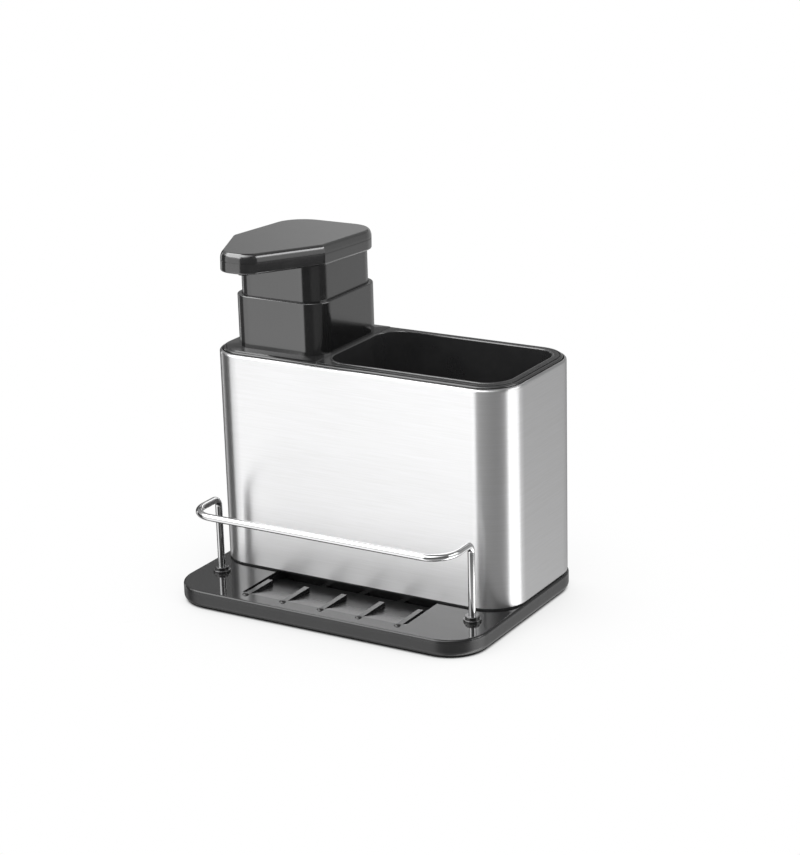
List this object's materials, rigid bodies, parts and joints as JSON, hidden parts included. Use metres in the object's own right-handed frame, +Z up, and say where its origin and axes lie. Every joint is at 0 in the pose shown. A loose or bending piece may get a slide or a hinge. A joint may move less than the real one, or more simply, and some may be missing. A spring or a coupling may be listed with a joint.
{
  "type": "soap pump caddy",
  "caption": "Brushed steel sink caddy on a black tray, with a press-down soap pump, a lift-out utensil bin and a wire rail that holds a sponge over a draining tray.",
  "frame": {"origin": "on the table, under the middle of the tray", "axes": "+Z up, +X along the long side from the pump to the bin, -Y to the front where the sponge rail is"},
  "size_m": [0.192, 0.135, 0.201],
  "materials": {
    "black_tray": "moulded black, polished",
    "foot_rubber": "matt black",
    "screw_steel": "plain stainless",
    "seal_rubber": "matt black",
    "brushed_sleeve": "brushed along the long side",
    "black_shell": "moulded black, satin gloss",
    "black_bin": "moulded black, satin gloss",
    "clear_reservoir": "milky, see-through",
    "black_pump": "moulded black, satin gloss",
    "white_engine": "natural white",
    "spring_steel": "drawn stainless wire",
    "ball_steel": "polished stainless",
    "clear_tube": "milky, see-through",
    "chrome_wire": "polished",
    "black_bushing": "moulded black"
  },
  "bodies": {
    "caddy_body": {"base_tray": "black_tray", "rubber_feet": "foot_rubber", "frame_screws": "screw_steel", "seal_strip": "seal_rubber", "steel_sleeve": "brushed_sleeve", "body_shell": "black_shell", "soap_reservoir": "clear_reservoir", "wire_rail": "chrome_wire", "rail_bushings": "black_bushing", "lock_washers": "screw_steel"},
    "bin": {"utensil_bin": "black_bin"},
    "pump_unit": {"pump_collar": "black_pump", "neck_gasket": "seal_rubber", "pump_cylinder": "white_engine", "stem_guide": "white_engine", "ball_retainer": "white_engine", "dip_tube": "clear_tube", "return_spring": "spring_steel"},
    "pump_head": {"head_body": "black_pump", "head_cap": "black_pump", "spout_tip": "black_pump", "pump_stem": "white_engine", "piston_seal": "seal_rubber"},
    "inlet_valve": {"inlet_ball": "ball_steel"},
    "outlet_valve": {"outlet_ball": "ball_steel"}
  },
  "joints": [
    {"name": "bin_lift", "type": "slide", "parent": "caddy_body", "child": "bin", "axis": [0, 0, 1], "range_m": [0, 0.115]},
    {"name": "pump_lift", "type": "slide", "parent": "caddy_body", "child": "pump_unit", "axis": [0, 0, 1], "range_m": [0, 0.125]},
    {"name": "pump_press", "type": "slide", "parent": "pump_unit", "child": "pump_head", "axis": [0, 0, 1], "range_m": [-0.014, 0], "stiffness_N_per_m": 700, "springref_m": 0.01, "deforming": ["return_spring"]},
    {"name": "inlet_ball_lift", "type": "slide", "parent": "pump_unit", "child": "inlet_valve", "axis": [0, 0, 1], "range_m": [0, 0.001]},
    {"name": "outlet_ball_lift", "type": "slide", "parent": "pump_head", "child": "outlet_valve", "axis": [0, 0, 1], "range_m": [0, 0.001]}
  ]
}
